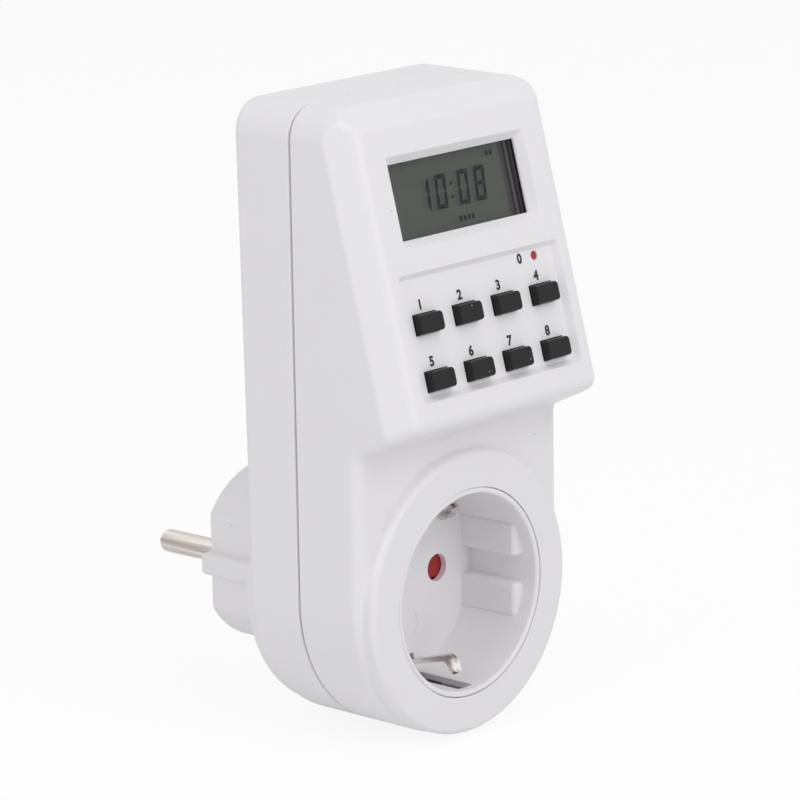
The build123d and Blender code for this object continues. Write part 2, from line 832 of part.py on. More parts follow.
def contact_sleeve(x):
    """Split brass sleeve that grips one pin of a plug."""
    with BuildPart() as sleeve:
        with BuildSketch(front_plane(contact_back_y)):
            with Locations((x, 0)):
                Circle(contact_radii[1])
                Circle(contact_radii[0], mode=Mode.SUBTRACT)
            with Locations((x, contact_radii[1])):
                Rectangle(contact_slit, contact_radii[1], mode=Mode.SUBTRACT)
        extrude(amount=contact_back_y - contact_front_y)
    return sleeve


line_contact = contact_sleeve(pin_offset)
neutral_contact = contact_sleeve(-pin_offset)
insert_screws = small_screws(
    front_plane(carrier_back_y),
    [(ear_x, ear_z), (-ear_x, ear_z)],
    -1,
    insert_screw_radius,
    insert_screw_length,
)

# ---------------------------------------------------------------- plug
def plug_pin(x):
    """Round pin with a rounded tip, and a thinner neck that is moulded into the boss."""
    with BuildPart() as pin:
        with BuildSketch(front_plane(pin_length)):
            with Locations((x, 0)):
                Circle(pin_radius)
        extrude(amount=pin_length - pin_neck_y)
        fillet(pin.edges().sort_by(Axis.Y)[-1], pin_tip_radius)
        with BuildSketch(front_plane(pin_neck_y)):
            with Locations((x, 0)):
                Circle(pin_neck_radius)
        extrude(amount=pin_neck_y - pin_tail_y)
    return pin


line_pin = plug_pin(pin_offset)
neutral_pin = plug_pin(-pin_offset)
earth_strap_upper = earth_strap(1)
earth_strap_lower = earth_strap(-1)

with BuildPart() as earth_bridge:
    with BuildSketch(Plane.YZ):
        with Locations((bridge_front_y + strap_thickness / 2, 0)):
            Rectangle(strap_thickness, 2 * strap_inner_z - strap_thickness)
    extrude(amount=strap_width / 2, both=True)

# strip beside the neutral sleeve and the neutral pin, in the plane of both
with BuildPart() as neutral_bus:
    sleeve_side = -pin_offset - contact_radii[1] - bus_thickness / 2
    pin_side = -pin_offset - pin_radius - bus_thickness / 2
    with BuildSketch(Plane.XY):
        with BuildLine():
            FilletPolyline(
                (sleeve_side, tower_back_y + 0.3),
                (sleeve_side, contact_back_y + 2),
                (pin_side, contact_back_y + 6),
                (pin_side, -boss_end_wall - 0.3),
                radius=2,
            )
        trace(line_width=bus_thickness)
    extrude(amount=bus_width / 2, both=True)

# ---------------------------------------------------------------- power board
with BuildPart() as power_board:
    with BuildSketch(front_plane(power_back_y)):
        with Locations((0, (power_z[0] + power_z[1]) / 2)):
            RectangleRounded(power_width, power_z[1] - power_z[0], 1)
        with Locations(*power_posts):
            Circle(small_screw_radius + 2 * screw_gap, mode=Mode.SUBTRACT)
    extrude(amount=power_back_y - power_front_y)

board_screws = small_screws(
    front_plane(power_front_y), power_posts, 1, small_screw_radius, small_screw_length
)


def board_block(x, z, width, height, depth, edge):
    """Rectangular case standing on the front of the power board."""
    with BuildPart() as block:
        with BuildSketch(front_plane(power_front_y)):
            with Locations((x, z)):
                Rectangle(width, height)
        extrude(amount=depth)
        fillet(block.edges().group_by(Axis.Y)[0] + block.edges().filter_by(Axis.Y), edge)
    return block


relay = board_block(*relay_place, *relay_size, relay_edge)
film_capacitor = board_block(*film_place, *film_size, film_edge)

with BuildPart() as filter_capacitor:
    with BuildSketch(front_plane(power_front_y)):
        with Locations(filter_place):
            Circle(filter_radius)
    extrude(amount=filter_height)
    fillet(filter_capacitor.edges().sort_by(Axis.Y)[0], filter_edge)

with BuildPart() as varistor:
    with BuildSketch(Plane.XY.offset(varistor_z)):
        with Locations((varistor_x, power_front_y - varistor_rise)):
            Circle(varistor_radius)
    extrude(amount=varistor_thickness)
    fillet(varistor.edges(), varistor_edge)
    with BuildSketch(front_plane(power_front_y)):
        for side in (1, -1):
            with Locations((varistor_x + side * varistor_leg_x, varistor_z + varistor_thickness / 2)):
                Circle(varistor_leg_radius)
    extrude(amount=varistor_leg_length)

with BuildPart() as rectifier_diodes:
    with BuildSketch(Plane.YZ.offset(diode_x)):
        with Locations(*[(power_front_y - diode_radius, z) for z in diode_z]):
            Circle(diode_radius)
    extrude(amount=diode_length)

with BuildPart() as dropper_resistor:
    with BuildSketch(Plane.YZ.offset(resistor_x)):
        with Locations((power_front_y - resistor_radius, resistor_z)):
            Circle(resistor_radius)
    extrude(amount=resistor_length)
    fillet(dropper_resistor.edges(), resistor_edge)

with BuildPart() as voltage_regulator:
    with BuildSketch(Plane.XY.offset(regulator_z)):
        with Locations((regulator_x, power_front_y - regulator_depth / 2)):
            Circle(regulator_width / 2)
            Rectangle(regulator_width, regulator_depth, mode=Mode.INTERSECT)
    extrude(amount=regulator_width)

# ---------------------------------------------------------------- leads inside the case
line_lead = lead(
    [
        (pin_offset, pin_tail_y, 0),
        (pin_offset, -12.5, 0),
        (9.0, -15.5, 8.5),
        (8.5, lead_run_y, 11),
        (line_solder_x, lead_run_y, solder_z),
    ],
    [3.5, 3.5, 3.5],
)
neutral_lead = lead(
    [
        (-12.3, -10.5, bus_width / 2 + 0.02),
        (-12.0, -10.5, 5.5),
        (-9.0, -16.5, 10.5),
        (-8.5, lead_run_y, 11.5),
        (-line_solder_x, lead_run_y, solder_z),
    ],
    [3.0, 4.0, 3.5],
)
switched_lead = lead(
    [
        (pin_offset, contact_back_y - 1.8, -contact_radii[1]),
        (pin_offset, contact_back_y - 1.8, -7.0),
        (12.0, lead_run_y, -9.0),
        (switched_solder_x, lead_run_y, 0),
        (switched_solder_x, lead_run_y, solder_z),
    ],
    [3.0, 2.6, 8.0],
)

# ---------------------------------------------------------------- display
with BuildPart() as lcd_window:
    with BuildSketch(behind_panel(cover_depth + cover_thickness)):
        with Locations((0, window_t)):
            Rectangle(cover_width, cover_height)
    extrude(amount=cover_thickness)

with BuildPart() as lcd_glass:
    with BuildSketch(behind_panel(display_depth + display_thickness)):
        with Locations((0, window_t)):
            Rectangle(display_width, display_height)
    extrude(amount=display_thickness)

with BuildPart() as lcd_holder:
    with BuildSketch(behind_panel(board_depth)):
        with Locations((0, window_t)):
            Rectangle(holder_inner_width + 2 * holder_wall, holder_inner_height + 2 * holder_wall)
            Rectangle(holder_inner_width, holder_inner_height, mode=Mode.SUBTRACT)
    extrude(amount=board_depth - holder_depth)

with BuildPart() as zebra_strip:
    with BuildSketch(behind_panel(board_depth)):
        with Locations((0, window_t + zebra_t), (0, window_t - zebra_t)):
            Rectangle(zebra_length, zebra_width)
    extrude(amount=board_depth - display_depth - display_thickness)

# ---------------------------------------------------------------- control board
with BuildPart() as control_board:
    with BuildSketch(behind_panel(board_back_depth)):
        with Locations((0, control_board_t)):
            RectangleRounded(control_board_width, control_board_height, 1)
        with Locations(*control_posts):
            Circle(small_screw_radius + 2 * screw_gap, mode=Mode.SUBTRACT)
    extrude(amount=board_thickness)

control_screws = small_screws(
    behind_panel(board_back_depth), control_posts, -1, small_screw_radius, small_screw_length
)

with BuildPart() as controller_chip:
    with BuildSketch(behind_panel(board_back_depth)):
        with Locations((chip_x, window_t)):
            Circle(chip_radius)
    extrude(amount=-chip_height)
    fillet(controller_chip.edges().group_by(Axis((0, 0, 0), -panel_normal))[-1], chip_edge)

with BuildPart() as crystal:
    crystal_foot = behind_panel(board_back_depth + crystal_radius).origin
    with BuildSketch(Plane(crystal_foot, x_dir=panel_up, z_dir=(1, 0, 0))):
        with Locations((crystal_t, 0)):
            Circle(crystal_radius)
    extrude(amount=crystal_length)
    fillet(crystal.edges().sort_by(Axis.X)[-1], crystal_edge)

with BuildPart() as backup_cell:
    with BuildSketch(behind_panel(board_back_depth)):
        with Locations((cell_x, cell_t)):
            Circle(cell_radius)
    extrude(amount=-cell_height)
    fillet(backup_cell.edges().group_by(Axis((0, 0, 0), -panel_normal))[-1], cell_edge)

with BuildPart() as ribbon_cable:
    start = behind_panel(board_back_depth).from_local_coords((0, ribbon_t, 0))
    leave = behind_panel(board_back_depth + ribbon_straight).from_local_coords((0, ribbon_t, 0))
    with BuildSketch(Plane.YZ.offset(ribbon_x)):
        with BuildLine():
            FilletPolyline(
                (start.Y, start.Z),
                (leave.Y, leave.Z),
                (ribbon_bend_y, ribbon_end_z),
                (power_front_y, ribbon_end_z),
                radius=ribbon_bend,
            )
        trace(line_width=ribbon_thickness)
    extrude(amount=ribbon_width / 2, both=True)

# ---------------------------------------------------------------- keys
key_names = [
    "week_key",
    "hour_key",
    "minute_key",
    "recall_key",
    "clock_key",
    "timer_key",
    "mode_key",
    "random_key",
]
keys = {}
for key_name, place in zip(key_names, key_places()):
    with BuildPart() as key:
        with BuildSketch(behind_panel(flange_depth)) as key_top:
            with Locations(place):
                Rectangle(key_width, key_height)
            left_end, right_end = key_top.vertices().group_by(Axis.X)
            fillet(right_end, key_corner)
            fillet(left_end, key_left_corner)
        extrude(amount=flange_depth + key_proud)
        fillet(key.edges().group_by(Axis((0, 0, 0), panel_normal))[-1], key_edge)
        with BuildSketch(behind_panel(flange_depth)):
            with Locations(place):
                Rectangle(key_width + 2 * flange_margin, key_height + 2 * flange_margin)
        extrude(amount=-flange_thickness)
    keys[key_name] = key

with BuildPart() as clear_button:
    with BuildSketch(behind_panel(flange_depth)):
        with Locations((clear_x, clear_t)):
            Circle(clear_radius)
    extrude(amount=flange_depth - clear_depth)
    with BuildSketch(behind_panel(flange_depth)):
        with Locations((clear_x, clear_t)):
            Circle(2 * clear_radius)
    extrude(amount=-flange_thickness)

# rubber sheet on the control board, with a dome under each key and one under the button
with BuildPart() as key_mat:
    with BuildSketch(behind_panel(board_depth)):
        with Locations((0, (mat_t[0] + mat_t[1]) / 2)):
            RectangleRounded(mat_width, mat_t[1] - mat_t[0], 1)
    extrude(amount=board_depth - mat_depth)
    with BuildSketch(behind_panel(mat_depth)):
        with Locations(*key_places()):
            Circle(key_dome_radius)
        with Locations((clear_x, clear_t)):
            Circle(clear_dome_radius)
    extrude(amount=mat_depth - dome_depth, taper=dome_taper)

# ---------------------------------------------------------------- files
pieces = {
    "rear_housing": rear_housing,
    "plug_base": plug_base,
    "front_housing": front_housing,
    "housing_screws": housing_screws,
    "line_pin": line_pin,
    "neutral_pin": neutral_pin,
    "earth_strap_upper": earth_strap_upper,
    "earth_strap_lower": earth_strap_lower,
    "earth_bridge": earth_bridge,
    "socket_insert": socket_insert,
    "socket_floor": socket_floor,
    "shutter": shutter,
    "shutter_spring": shutter_spring,
    "contact_carrier": contact_carrier,
    "line_contact": line_contact,
    "neutral_contact": neutral_contact,
    "neutral_bus": neutral_bus,
    "insert_screws": insert_screws,
    "power_board": power_board,
    "board_screws": board_screws,
    "relay": relay,
    "film_capacitor": film_capacitor,
    "filter_capacitor": filter_capacitor,
    "varistor": varistor,
    "rectifier_diodes": rectifier_diodes,
    "dropper_resistor": dropper_resistor,
    "voltage_regulator": voltage_regulator,
    "line_lead": line_lead,
    "neutral_lead": neutral_lead,
    "switched_lead": switched_lead,
    "lcd_window": lcd_window,
    "lcd_glass": lcd_glass,
    "lcd_holder": lcd_holder,
    "zebra_strip": zebra_strip,
    "control_board": control_board,
    "control_screws": control_screws,
    "controller_chip": controller_chip,
    "crystal": crystal,
    "backup_cell": backup_cell,
    "ribbon_cable": ribbon_cable,
    "clear_button": clear_button,
    "key_mat": key_mat,
    **keys,
}
os.makedirs("parts", exist_ok=True)
for name, piece in pieces.items():
    piece.part.label = name
    export_step(piece.part, f"parts/{name}.step")
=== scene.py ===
"""Looks of the plug in timer switch: finishes, printed marks, display figures, light and view."""

import json
import math

import bpy
import numpy as np
from mathutils import Matrix, Vector


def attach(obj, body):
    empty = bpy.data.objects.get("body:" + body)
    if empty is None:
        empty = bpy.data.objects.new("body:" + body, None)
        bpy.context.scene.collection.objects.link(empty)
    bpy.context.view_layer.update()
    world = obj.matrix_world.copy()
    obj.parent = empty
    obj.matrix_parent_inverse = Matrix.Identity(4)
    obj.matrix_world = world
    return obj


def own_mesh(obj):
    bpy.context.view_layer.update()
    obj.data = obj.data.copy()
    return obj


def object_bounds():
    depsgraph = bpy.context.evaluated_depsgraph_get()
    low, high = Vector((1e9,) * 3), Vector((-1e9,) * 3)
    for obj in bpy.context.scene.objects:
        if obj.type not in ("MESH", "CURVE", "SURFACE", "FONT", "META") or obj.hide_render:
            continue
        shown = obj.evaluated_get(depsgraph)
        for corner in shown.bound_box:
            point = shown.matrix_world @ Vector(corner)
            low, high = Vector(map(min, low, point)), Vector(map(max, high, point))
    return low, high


MM = 0.001

# The view: direction, roll and distance of the eye, and where its axis passes the plug's axis
VIEW_AZIMUTH = math.radians(47.572)
VIEW_ELEVATION = math.radians(13.52)
VIEW_ROLL = math.radians(-0.986)
VIEW_DISTANCE = 902.64 * MM
VIEW_SIDE = -13.98 * MM
VIEW_RISE = 37.831 * MM
VIEW_LENS = 206.74
VIEW_SENSOR = 36.0
VIEW_NEAR = 0.05
VIEW_FAR = 20
RING_FACE_Y = -56.7 * MM

# The slanted panel: foot, tilt, its keys, and the depths that its details lie at, in millimetres
# unless a unit is given, as in the CAD model
PANEL_FOOT = Vector((0, -67.5, 38.5)) * MM
PANEL_TILT = math.radians(14.75)
PANEL_UP = Vector((0, math.sin(PANEL_TILT), math.cos(PANEL_TILT)))
PANEL_OUT = Vector((0, -math.cos(PANEL_TILT), math.sin(PANEL_TILT)))
KEYPAD_DEPTH = 1.2
KEY_PITCH = 11.3
KEY_COLUMNS = 4
KEY_ROWS = (20.3, 9.3)
DISPLAY_DEPTH = 3.3
INK_THICKNESS = 0.02  # printed marks and display figures stand this far off what carries them

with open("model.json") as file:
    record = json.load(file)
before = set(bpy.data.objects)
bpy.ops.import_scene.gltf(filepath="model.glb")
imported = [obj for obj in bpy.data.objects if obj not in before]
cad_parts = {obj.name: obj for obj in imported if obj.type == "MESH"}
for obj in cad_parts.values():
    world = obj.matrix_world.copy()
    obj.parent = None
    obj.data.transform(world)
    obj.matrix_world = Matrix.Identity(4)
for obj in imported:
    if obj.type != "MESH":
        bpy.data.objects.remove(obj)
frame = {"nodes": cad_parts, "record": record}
cad_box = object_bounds()
nodes = frame["nodes"]


# ---------------------------------------------------------------- meshes
def on_panel(points, depth):
    """Rows (x, t) on the panel at one depth, turned into rows (x, y, z) in metres.

    x runs across the panel, t up its slant, and depth behind its face, all in millimetres.
    """
    flat = np.asarray(points, dtype=float) * MM
    base = np.array(PANEL_FOOT) - np.array(PANEL_OUT) * depth * MM
    return base + flat[:, :1] * np.array([1.0, 0, 0]) + flat[:, 1:2] * np.array(PANEL_UP)


def make_piece(name, vertices, faces, body, material):
    """A new flat piece that rides on a CAD body."""
    mesh = bpy.data.meshes.new(name)
    mesh.from_pydata([tuple(v) for v in vertices], [], faces)
    mesh.validate()
    mesh.update()
    mesh.polygons.foreach_set("use_smooth", [False] * len(mesh.polygons))
    mesh.materials.append(material)
    piece = bpy.data.objects.new(name, mesh)
    bpy.context.scene.collection.objects.link(piece)
    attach(piece, body)


# ---------------------------------------------------------------- shader groups
BROAD_NOISE = 55.0  # cells per metre of the broad change of tone
GLOSS_SWING = 0.12  # how far that noise moves the roughness
STREAK_SQUEEZE = (1.0, 0.03, 1.0)
WEAR_NOISE = 700.0  # cells per metre that break up the worn edges
WEAR_SAMPLES = 4


def new_group(name, inputs, outputs):
    """Empty shader group with named sockets: inputs are (name, kind, default)."""
    group = bpy.data.node_groups.new(name, "ShaderNodeTree")
    for label, kind, value in inputs:
        socket = group.interface.new_socket(name=label, in_out="INPUT", socket_type=kind)
        socket.default_value = value
    for label, kind in outputs:
        group.interface.new_socket(name=label, in_out="OUTPUT", socket_type=kind)
    start = group.nodes.new("NodeGroupInput")
    end = group.nodes.new("NodeGroupOutput")
    return group, start, end


def math_node(tree, operation, *values):
    """Math node with numbers or sockets as its inputs."""
    node = tree.nodes.new("ShaderNodeMath")
    node.operation = operation
    for socket, value in zip(node.inputs, values):
        if isinstance(value, (int, float)):
            socket.default_value = value
        else:
            tree.links.new(value, socket)
    return node.outputs[0]


def noise_node(tree, vector, scale, detail=2.0, roughness=0.5):
    """Noise texture; scale is a number or a socket, in cells per metre."""
    node = tree.nodes.new("ShaderNodeTexNoise")
    node.inputs["Detail"].default_value = detail
    node.inputs["Roughness"].default_value = roughness
    if isinstance(scale, (int, float)):
        node.inputs["Scale"].default_value = scale
    else:
        tree.links.new(scale, node.inputs["Scale"])
    tree.links.new(vector, node.inputs["Vector"])
    return node.outputs["Fac"]


def mix_colour(tree, factor, first, second):
    """Mix of two colours given as tuples or sockets."""
    node = tree.nodes.new("ShaderNodeMix")
    node.data_type = "RGBA"
    for label, value in (("Factor", factor), ("A", first), ("B", second)):
        if isinstance(value, (int, float, tuple)):
            node.inputs[label].default_value = value
        else:
            tree.links.new(value, node.inputs[label])
    return node.outputs["Result"]


def grain_group():
    """Moulded grain: a fine even bump, a broad change of tone and a change of gloss.

    Height is fine noise times the grain strength. Tone is the base colour, darkened by broad noise
    times the variation. Gloss is the roughness, moved up and down by the same broad noise.
    """
    group, start, end = new_group(
        "moulded_grain",
        [
            ("Colour", "NodeSocketColor", (0.8, 0.8, 0.8, 1)),
            ("Roughness", "NodeSocketFloat", 0.5),
            ("Grain per metre", "NodeSocketFloat", 4000.0),
            ("Grain strength", "NodeSocketFloat", 0.2),
            ("Variation", "NodeSocketFloat", 0.03),
        ],
        [
            ("Colour", "NodeSocketColor"),
            ("Roughness", "NodeSocketFloat"),
            ("Height", "NodeSocketFloat"),
        ],
    )
    place = group.nodes.new("ShaderNodeTexCoord").outputs["Object"]
    fine = noise_node(group, place, start.outputs["Grain per metre"], 3.0, 0.6)
    broad = noise_node(group, place, BROAD_NOISE, 3.0, 0.55)
    swing = math_node(group, "SUBTRACT", broad, 0.5)
    darker = math_node(group, "MULTIPLY", swing, start.outputs["Variation"])
    factor = math_node(group, "SUBTRACT", 1.0, math_node(group, "ABSOLUTE", darker))
    tone = group.nodes.new("ShaderNodeVectorMath")
    tone.operation = "SCALE"
    group.links.new(start.outputs["Colour"], tone.inputs[0])
    group.links.new(factor, tone.inputs["Scale"])
    group.links.new(tone.outputs[0], end.inputs["Colour"])
    gloss = math_node(group, "MULTIPLY", swing, GLOSS_SWING)
    roughness = math_node(group, "ADD", start.outputs["Roughness"], gloss)
    group.links.new(roughness, end.inputs["Roughness"])
    height = math_node(group, "MULTIPLY", fine, start.outputs["Grain strength"])
    group.links.new(height, end.inputs["Height"])
    return group


def streak_group():
    """Painted reflection on metal: long streaks along y, light and dark, in place of the dark
    surroundings that a rod mirrors.

    The mask is noise on a place squeezed along y, so that it varies across a rod and hardly along
    it, sharpened about its middle: mask = clamp((noise - 0.5) * contrast + 0.5).
    """
    group, start, end = new_group(
        "painted_reflection_streaks",
        [("Streaks per metre", "NodeSocketFloat", 600.0), ("Contrast", "NodeSocketFloat", 4.0)],
        [("Mask", "NodeSocketFloat")],
    )
    place = group.nodes.new("ShaderNodeTexCoord").outputs["Object"]
    squeeze = group.nodes.new("ShaderNodeVectorMath")
    squeeze.operation = "MULTIPLY"
    squeeze.inputs[1].default_value = STREAK_SQUEEZE
    group.links.new(place, squeeze.inputs[0])
    lines = noise_node(group, squeeze.outputs[0], start.outputs["Streaks per metre"], 2.0, 0.5)
    centred = math_node(group, "SUBTRACT", lines, 0.5)
    swing = math_node(group, "MULTIPLY", centred, start.outputs["Contrast"])
    clamp = group.nodes.new("ShaderNodeClamp")
    group.links.new(math_node(group, "ADD", swing, 0.5), clamp.inputs["Value"])
    group.links.new(clamp.outputs["Result"], end.inputs["Mask"])
    return group


def dust_group():
    """Dust: small round specks, scattered where a cell of a Voronoi pattern has a high value.

    The mask is one inside a speck, whose size and share of the cells are inputs.
    """
    group, start, end = new_group(
        "dust_specks",
        [
            ("Specks per metre", "NodeSocketFloat", 900.0),
            ("Size", "NodeSocketFloat", 0.12),
            ("Share", "NodeSocketFloat", 0.1),
        ],
        [("Mask", "NodeSocketFloat")],
    )
    place = group.nodes.new("ShaderNodeTexCoord").outputs["Object"]
    cells = group.nodes.new("ShaderNodeTexVoronoi")
    group.links.new(place, cells.inputs["Vector"])
    group.links.new(start.outputs["Specks per metre"], cells.inputs["Scale"])
    inside = math_node(group, "LESS_THAN", cells.outputs["Distance"], start.outputs["Size"])
    separate = group.nodes.new("ShaderNodeSeparateColor")
    group.links.new(cells.outputs["Color"], separate.inputs["Color"])
    chosen = math_node(group, "LESS_THAN", separate.outputs["Red"], start.outputs["Share"])
    group.links.new(math_node(group, "MULTIPLY", inside, chosen), end.inputs["Mask"])
    return group


def wear_group():
    """Edge wear: a mask that grows where a bevelled normal departs from the true one.

    The mask is one minus the dot product of both normals, times the strength, broken up by noise.
    """
    group, start, end = new_group(
        "edge_wear",
        [("Radius", "NodeSocketFloat", 0.0004), ("Strength", "NodeSocketFloat", 4.0)],
        [("Mask", "NodeSocketFloat")],
    )
    bevel = group.nodes.new("ShaderNodeBevel")
    bevel.samples = WEAR_SAMPLES
    group.links.new(start.outputs["Radius"], bevel.inputs["Radius"])
    normal = group.nodes.new("ShaderNodeNewGeometry").outputs["Normal"]
    dot = group.nodes.new("ShaderNodeVectorMath")
    dot.operation = "DOT_PRODUCT"
    group.links.new(bevel.outputs["Normal"], dot.inputs[0])
    group.links.new(normal, dot.inputs[1])
    bent = math_node(group, "SUBTRACT", 1.0, dot.outputs["Value"])
    place = group.nodes.new("ShaderNodeTexCoord").outputs["Object"]
    broken = noise_node(group, place, WEAR_NOISE, 3.0, 0.6)
    worn = math_node(group, "MULTIPLY", bent, start.outputs["Strength"])
    mask = math_node(group, "MULTIPLY", worn, broken)
    clamp = group.nodes.new("ShaderNodeClamp")
    group.links.new(mask, clamp.inputs["Value"])
    group.links.new(clamp.outputs["Result"], end.inputs["Mask"])
    return group


GRAIN = grain_group()
DUST = dust_group()
REFLECTION_STREAKS = streak_group()
WEAR = wear_group()


# ---------------------------------------------------------------- finishes
RELIEF_DEPTH = 0.05 * MM
SCATTER_DEPTH = 1.0 * MM
SCATTER_SPREAD = (0.6, 0.5, 0.5)  # share of that depth for red, green and blue
COVER_IOR = 1.2
COVER_NOISE = 180.0  # cells per metre of the cover's smear
COVER_TINTS = ((0.93, 0.95, 0.93, 1), (0.98, 0.98, 0.98, 1))
DISPLAY_SHINE = 0.08  # specular level of the display's layers, which lie under a cover


def use_group(tree, group, **values):
    """Place a shader group in a material, with underscores in the names standing for spaces."""
    node = tree.nodes.new("ShaderNodeGroup")
    node.node_tree = group
    for label, value in values.items():
        node.inputs[label.replace("_", " ")].default_value = value
    return node


def linear(red, green, blue):
    """Colour given as it looks on a screen, 0 to 255, as linear values with alpha."""
    def channel(value):
        share = value / 255
        return share / 12.92 if share <= 0.04045 else ((share + 0.055) / 1.055) ** 2.4

    return (channel(red), channel(green), channel(blue), 1.0)


def moulded(name, colour, roughness, grain=4000.0, strength=0.2, variation=0.04, bump=0.3,
            dust=0.0, dust_colour=(0.6, 0.58, 0.55, 1), wear=0.0, wear_colour=(0.5, 0.5, 0.5, 1),
            metallic=0.0, subsurface=0.0, specular=0.5, reflection_streak_colour=None):
    """Principled material with grain, and with wear, painted reflection streaks or dust from the
    shared groups.
    """
    material = bpy.data.materials.new(name)
    material.use_nodes = True
    tree = material.node_tree
    shader = tree.nodes["Principled BSDF"]
    grain_node = use_group(tree, GRAIN, Colour=colour, Roughness=roughness,
                           Grain_per_metre=grain, Grain_strength=strength, Variation=variation)
    surface = grain_node.outputs["Colour"]
    if wear:
        wear_node = use_group(tree, WEAR, Strength=wear)
        surface = mix_colour(tree, wear_node.outputs["Mask"], surface, wear_colour)
    # painted reflection: dark streaks mixed into the metal's colour
    if reflection_streak_colour:
        reflection_streak_node = use_group(tree, REFLECTION_STREAKS)
        surface = mix_colour(tree, reflection_streak_node.outputs["Mask"], surface, reflection_streak_colour)
    if dust:
        dust_node = use_group(tree, DUST, Share=dust)
        surface = mix_colour(tree, dust_node.outputs["Mask"], surface, dust_colour)
    tree.links.new(surface, shader.inputs["Base Color"])
    tree.links.new(grain_node.outputs["Roughness"], shader.inputs["Roughness"])
    relief = tree.nodes.new("ShaderNodeBump")
    relief.inputs["Strength"].default_value = bump
    relief.inputs["Distance"].default_value = RELIEF_DEPTH
    tree.links.new(grain_node.outputs["Height"], relief.inputs["Height"])
    tree.links.new(relief.outputs["Normal"], shader.inputs["Normal"])
    shader.inputs["Metallic"].default_value = metallic
    shader.inputs["Subsurface Weight"].default_value = subsurface
    shader.inputs["Subsurface Radius"].default_value = SCATTER_SPREAD
    shader.inputs["Subsurface Scale"].default_value = SCATTER_DEPTH
    shader.inputs["Specular IOR Level"].default_value = specular
    return material


def clear_material(name):
    """Clear cover: thin glass-like plastic with a faint smear in its tint."""
    material = bpy.data.materials.new(name)
    material.use_nodes = True
    tree = material.node_tree
    shader = tree.nodes["Principled BSDF"]
    shader.inputs["Transmission Weight"].default_value = 1.0
    shader.inputs["IOR"].default_value = COVER_IOR
    place = tree.nodes.new("ShaderNodeTexCoord").outputs["Object"]
    smear = noise_node(tree, place, COVER_NOISE, 4.0, 0.6)
    tree.links.new(mix_colour(tree, smear, *COVER_TINTS), shader.inputs["Base Color"])
    shader.inputs["Roughness"].default_value = 0.0
    return material


def ink_material(name, colour, roughness, specular=0.5):
    """Printed ink: flat colour with a fine uneven edge of tone."""
    return moulded(name, colour, roughness, grain=9000.0, strength=0.1, variation=0.2, bump=0.1,
                   specular=specular)


FINISHES = {
    "white_plastic": moulded("white_plastic", (0.885, 0.87, 0.89, 1), 0.42, grain=5200.0,
                             strength=0.5, variation=0.03, bump=0.35, dust=0.006,
                             dust_colour=(0.45, 0.40, 0.36, 1), subsurface=0.1),
    "black_plastic": moulded("black_plastic", (0.014, 0.014, 0.015, 1), 0.36, grain=6500.0,
                             strength=0.5, bump=0.4, dust=0.09,
                             dust_colour=(0.45, 0.45, 0.44, 1), wear=1.5,
                             wear_colour=(0.26, 0.26, 0.26, 1), specular=0.2),
    "red_plastic": moulded("red_plastic", (0.40, 0.02, 0.016, 1), 0.35, grain=3000.0,
                           variation=0.1),
    "grey_plastic": moulded("grey_plastic", (0.35, 0.35, 0.35, 1), 0.5),
    # nickel's dark streaks along the pins are painted reflection
    "nickel": moulded("nickel", (0.85, 0.80, 0.76, 1), 0.14, grain=900.0, strength=0.3,
                      variation=0.2, bump=0.15, metallic=1.0,
                      reflection_streak_colour=(0.38, 0.33, 0.31, 1)),
    "contact_brass": moulded("contact_brass", (0.60, 0.42, 0.16, 1), 0.28, grain=1500.0,
                             variation=0.2, metallic=1.0),
    "screw_steel": moulded("screw_steel", (0.55, 0.55, 0.57, 1), 0.3, grain=2500.0,
                           variation=0.2, metallic=1.0),
    "spring_steel": moulded("spring_steel", (0.45, 0.45, 0.47, 1), 0.3, grain=2500.0,
                            metallic=1.0),
    "circuit_board": moulded("circuit_board", (0.02, 0.13, 0.05, 1), 0.35, grain=2500.0,
                             variation=0.15),
    "relay_blue": moulded("relay_blue", (0.02, 0.06, 0.22, 1), 0.3, variation=0.08),
    "capacitor_yellow": moulded("capacitor_yellow", (0.55, 0.33, 0.03, 1), 0.3, variation=0.1),
    "capacitor_sleeve": moulded("capacitor_sleeve", (0.01, 0.01, 0.03, 1), 0.3, variation=0.1),
    "varistor_blue": moulded("varistor_blue", (0.02, 0.06, 0.35, 1), 0.35, variation=0.15),
    "resistor_tan": moulded("resistor_tan", (0.45, 0.33, 0.17, 1), 0.5, variation=0.15),
    "component_black": moulded("component_black", (0.02, 0.02, 0.02, 1), 0.5, variation=0.1),
    "lead_brown": moulded("lead_brown", (0.08, 0.03, 0.012, 1), 0.4, variation=0.1),
    "lead_blue": moulded("lead_blue", (0.01, 0.06, 0.30, 1), 0.4, variation=0.1),
    "clear_cover": clear_material("clear_cover"),
    "display_glass": moulded("display_glass", linear(80, 82, 77), 0.25, grain=1200.0,
                             strength=0.1, variation=0.12, bump=0.05,
                             specular=DISPLAY_SHINE),
    "dark_rubber": moulded("dark_rubber", (0.03, 0.03, 0.032, 1), 0.7, variation=0.1),
    "mat_rubber": moulded("mat_rubber", (0.25, 0.25, 0.26, 1), 0.7, variation=0.1),
    "ribbon_grey": moulded("ribbon_grey", (0.35, 0.35, 0.36, 1), 0.5, variation=0.1),
}
PRINT_BLACK = ink_material("print_black", (0.015, 0.014, 0.016, 1), 0.5)
SEGMENT_DARK = ink_material("segment_dark", linear(14, 17, 24), 0.4, DISPLAY_SHINE)
SEGMENT_GHOST = ink_material("segment_ghost", linear(66, 68, 68), 0.4, DISPLAY_SHINE)
